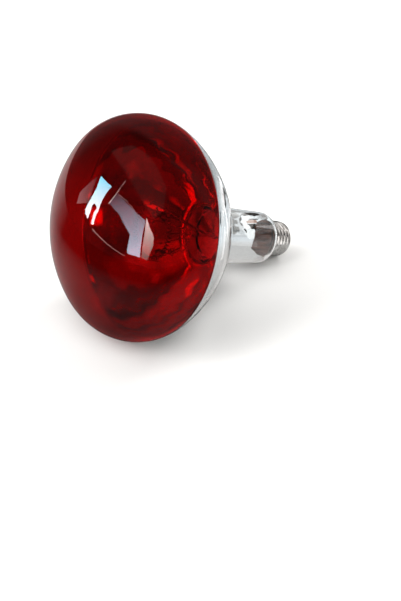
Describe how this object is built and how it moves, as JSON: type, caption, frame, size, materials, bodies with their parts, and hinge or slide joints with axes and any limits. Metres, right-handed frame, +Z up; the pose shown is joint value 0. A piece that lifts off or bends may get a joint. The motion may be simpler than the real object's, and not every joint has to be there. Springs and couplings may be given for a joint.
{
  "type": "infrared heat lamp",
  "caption": "Reflector heat lamp with a domed ruby front glass, a mirrored bowl and neck, a glass stem with a coiled filament, and a screw cap.",
  "frame": {"origin": "centre of the base of the bounding box: the lamp lies on the floor at Z = 0, on its widest circle and the thread of its cap", "axes": "+Z up; the lamp's axis lies in the XZ plane, front glass towards -X and tilted up, cap towards +X and low"},
  "size_m": [0.1724, 0.1246, 0.1196],
  "materials": {
    "ruby_glass": "smooth blown glass, ruby",
    "silvered_glass": "clear blown glass with a bright metal coat on its inside",
    "clear_glass": "smooth",
    "cap_metal": "rolled sheet, slightly worn",
    "cement": "matt baked resin cement",
    "black_glass": "glossy opaque black glass",
    "brass": "stamped",
    "solder": "dull solder",
    "mica": "pearly brown mica sheet",
    "nickel": "drawn nickel wire",
    "copper_wire": "drawn copper wire",
    "tungsten": "dull grey wire",
    "molybdenum": "dull grey wire"
  },
  "bodies": {
    "root": {"front_lens": "ruby_glass", "reflector_bowl": "silvered_glass", "cap_shell": "cap_metal", "cap_cement": "cement", "cap_insulator": "black_glass", "contact_plate": "brass", "contact_solder": "solder", "side_solder": "solder", "stem_flare": "clear_glass", "stem_pinch": "clear_glass", "exhaust_tube": "clear_glass", "arbor_rod": "clear_glass", "arbor_button": "clear_glass", "heat_deflector": "mica", "deflector_eyelet_a": "nickel", "deflector_eyelet_b": "nickel", "lead_wire_inner_a": "nickel", "lead_wire_inner_b": "nickel", "lead_wire_outer_a": "copper_wire", "lead_wire_outer_b": "copper_wire", "filament": "tungsten", "filament_support_1": "molybdenum", "filament_support_2": "molybdenum", "filament_support_3": "molybdenum", "filament_support_4": "molybdenum"}
  },
  "joints": []
}
